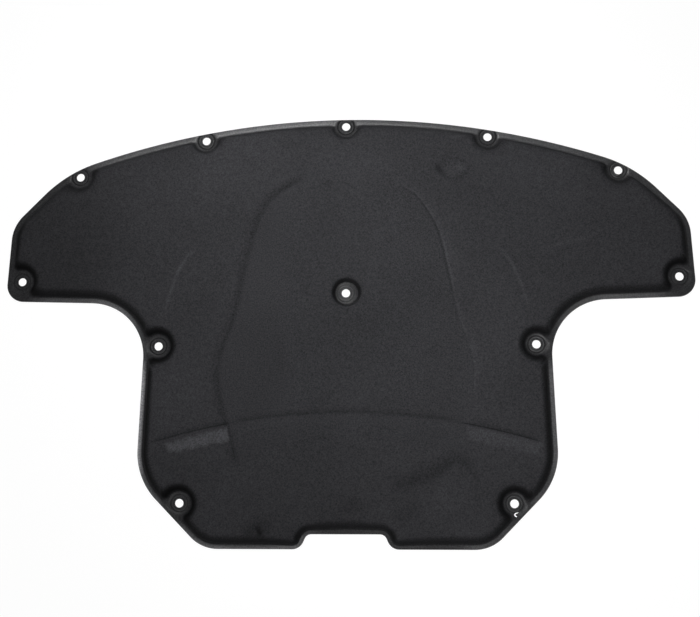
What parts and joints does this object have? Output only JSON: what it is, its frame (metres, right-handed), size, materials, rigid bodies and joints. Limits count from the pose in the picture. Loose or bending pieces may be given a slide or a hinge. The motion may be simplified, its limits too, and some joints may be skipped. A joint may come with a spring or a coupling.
{
  "type": "hood insulation pad",
  "caption": "Moulded black felt pad for the underside of a car hood, with a thin pressed flange, a raised field, clip seats with through-holes and a notch in its lower edge.",
  "frame": {"origin": "middle of the bounding box, on the flat back face", "axes": "+X across the hood, along the longest extent; +Y towards the long curved edge; +Z out of the engine side, along the thickness"},
  "size_m": [1.1996, 0.7494, 0.018],
  "materials": {
    "pressed_black_felt": "matte black non-woven face with a fine grain, pressed smoother on the flange and seats"
  },
  "bodies": {
    "root": {"insulation_pad": "pressed_black_felt"}
  },
  "joints": []
}
